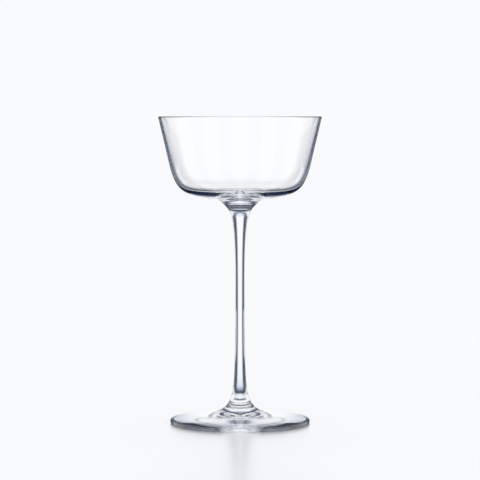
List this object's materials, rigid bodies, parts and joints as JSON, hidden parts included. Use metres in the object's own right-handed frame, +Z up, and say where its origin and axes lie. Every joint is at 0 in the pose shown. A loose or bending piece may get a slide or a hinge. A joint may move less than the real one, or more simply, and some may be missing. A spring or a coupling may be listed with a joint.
{
  "type": "nick and nora glass",
  "caption": "Clear stemmed cocktail glass with straight flared walls, a rounded heel, a slim drawn stem and a round foot.",
  "frame": {"origin": "on the table under the centre of the foot", "axes": "+Z up the stem, along the glass's axis of symmetry; X and Y are any two directions across it"},
  "size_m": [0.082, 0.082, 0.1546],
  "materials": {
    "foot_glass": "clear, fire-polished",
    "stem_glass": "clear, fire-polished",
    "bowl_glass": "clear, fire-polished"
  },
  "bodies": {
    "root": {"foot": "foot_glass", "stem": "stem_glass", "bowl": "bowl_glass"}
  },
  "joints": []
}
